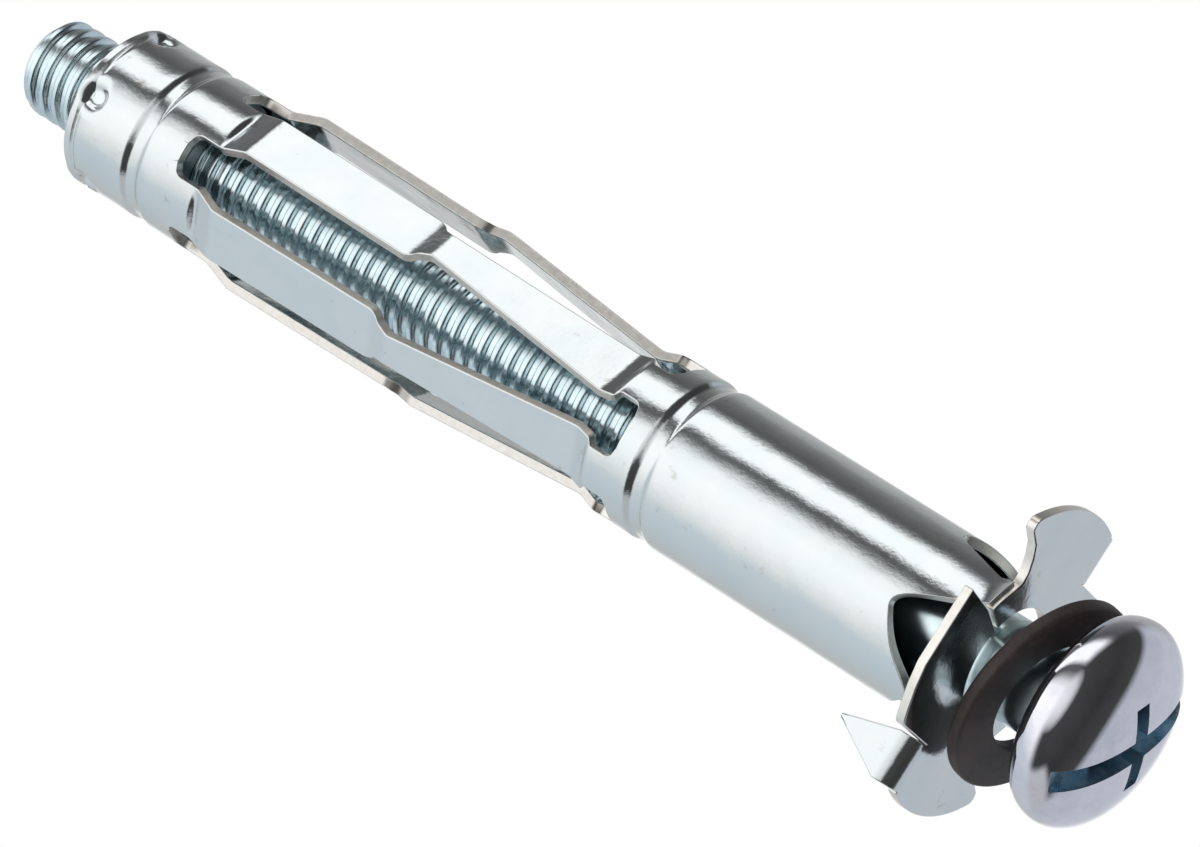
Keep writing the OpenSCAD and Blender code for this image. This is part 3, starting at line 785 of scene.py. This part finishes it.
studio = {
    # the far side, by degrees about X from straight up, towards +Y: white softboxes with dark gaps
    "behind": ((-180, 1.1), (-165, 1.0), (-150, 0.6), (-120, "#d3dadf"), (-90, "#dbe4ec"),
               (-72, "#e2eaf0"), (-55, 1.05), (-35, 1.3), (-10, 1.4), (10, 1.3), (18, 0.9), (25, 0.4),
               (31, 0.14), (38, 0.14), (43, 0.9), (47, 1.4), (70, 1.4), (75, 0.9), (81, 0.25),
               (88, 0.12), (105, 0.18), (120, 0.27), (133, 0.45), (160, 0.55), (180, 1.1)),
    # the near side, by height from -1 to 1: a pale table to its far edge, a dark room, a ceiling light
    "room": ((-1, "#d3d7de"), (-0.47, "#c8cdd5"), (-0.34, 0.07), (0.1, 0.045), (0.8, 0.07),
             (0.92, 0.85), (1, 1.1)),
    # a grey window in the room, from windowSide on along Y and below windowTop along Z
    "window": (0.6, 0.6, 0.62, 1), "windowSide": (-0.75, -0.88), "windowTop": (0.35, 0.15),
    "nearSide": (-0.35, 0.1),  # along X, where the far side goes over into the near side
}


# The studio that bright metal mirrors, picked by the direction of the reflection. The camera sees
# plain white, and dull surfaces get even white light.
def makeStudio():
    s = studio
    world = bpy.data.worlds.new("studio")
    bpy.context.scene.world = world
    world.use_nodes = True
    tree = world.node_tree
    tree.nodes.clear()
    output = addNode(tree, "ShaderNodeOutputWorld")
    direction = addNode(tree, "ShaderNodeTexCoord").outputs["Generated"]
    axes = addNode(tree, "ShaderNodeSeparateXYZ", {}, {"Vector": direction}).outputs
    turn = addNode(tree, "ShaderNodeMath", {}, {0: axes["Y"], 1: axes["Z"]}, operation="ARCTAN2")
    turnShare = addNode(tree, "ShaderNodeMapRange", {"From Min": -math.pi, "From Max": math.pi},
                        {"Value": turn.outputs[0]})
    heightShare = addNode(tree, "ShaderNodeMapRange", {"From Min": -1.0, "From Max": 1.0},
                          {"Value": axes["Z"]})
    behind = addNode(tree, "ShaderNodeValToRGB", {}, {"Fac": turnShare.outputs["Result"]})
    room = addNode(tree, "ShaderNodeValToRGB", {}, {"Fac": heightShare.outputs["Result"]})
    setStops(behind, [((d + 180) / 360, tone) for d, tone in s["behind"]])
    setStops(room, [((h + 1) / 2, tone) for h, tone in s["room"]])
    windowSide = addNode(tree, "ShaderNodeMapRange",
                         {"From Min": s["windowSide"][0], "From Max": s["windowSide"][1]},
                         {"Value": axes["Y"]}, interpolation_type="SMOOTHSTEP")
    windowTop = addNode(tree, "ShaderNodeMapRange",
                        {"From Min": s["windowTop"][0], "From Max": s["windowTop"][1]},
                        {"Value": axes["Z"]}, interpolation_type="SMOOTHSTEP")
    window = addNode(tree, "ShaderNodeMath", {}, {0: windowSide.outputs["Result"],
                                                  1: windowTop.outputs["Result"]}, operation="MULTIPLY")
    before = addNode(tree, "ShaderNodeMixRGB", {"Color2": s["window"]},
                     {"Fac": window.outputs[0], "Color1": room.outputs["Color"]})
    nearSide = addNode(tree, "ShaderNodeMapRange",
                       {"From Min": s["nearSide"][0], "From Max": s["nearSide"][1]},
                       {"Value": axes["X"]}, interpolation_type="SMOOTHSTEP")
    mirrored = addNode(tree, "ShaderNodeMixRGB", {}, {"Fac": nearSide.outputs["Result"],
                                                      "Color1": behind.outputs["Color"],
                                                      "Color2": before.outputs["Color"]})
    path = addNode(tree, "ShaderNodeLightPath").outputs
    plain = addNode(tree, "ShaderNodeBackground", {"Color": (1, 1, 1, 1), "Strength": 1.0})
    reflected = addNode(tree, "ShaderNodeBackground", {"Strength": 1.0},
                        {"Color": mirrored.outputs["Color"]})
    seen = addNode(tree, "ShaderNodeMixShader", {}, {"Fac": path["Is Glossy Ray"],
                                                     1: plain.outputs["Background"],
                                                     2: reflected.outputs["Background"]})
    tree.links.new(seen.outputs["Shader"], output.inputs["Surface"])


table = {"half": 2000, "height": -10.5, "tone": "#b4b4b6"}


# The pale table under the object. The camera sees it plain white, dull surfaces see its own tone, and
# reflections go through it to the studio's table, so that its edge shows where the studio has it.
def makeFloor():
    half, height = table["half"] * mm, table["height"] * mm
    mesh = bpy.data.meshes.new("pale_floor")
    mesh.from_pydata([(-half, -half, height), (half, -half, height), (half, half, height),
                      (-half, half, height)], [], [(0, 1, 2, 3)])
    floor = bpy.data.objects.new("pale_floor", mesh)
    bpy.context.scene.collection.objects.link(floor)
    material, tree, output = newMaterial("pale table")[:3]
    path = addNode(tree, "ShaderNodeLightPath").outputs
    matt = addNode(tree, "ShaderNodeBsdfDiffuse", {"Color": linear(table["tone"])})
    bright = addNode(tree, "ShaderNodeEmission", {"Color": (1, 1, 1, 1), "Strength": 1.0})
    clear = addNode(tree, "ShaderNodeBsdfTransparent")
    mirrored = addNode(tree, "ShaderNodeMixShader", {}, {"Fac": path["Is Glossy Ray"],
                                                         1: matt.outputs["BSDF"], 2: clear.outputs["BSDF"]})
    seen = addNode(tree, "ShaderNodeMixShader", {}, {"Fac": path["Is Camera Ray"],
                                                     1: mirrored.outputs["Shader"],
                                                     2: bright.outputs["Emission"]})
    tree.links.new(seen.outputs["Shader"], output.inputs["Surface"])
    mesh.materials.append(material)
    return floor


makeStudio()
floor = makeFloor()
bpy.context.scene.view_settings.view_transform = "Standard"
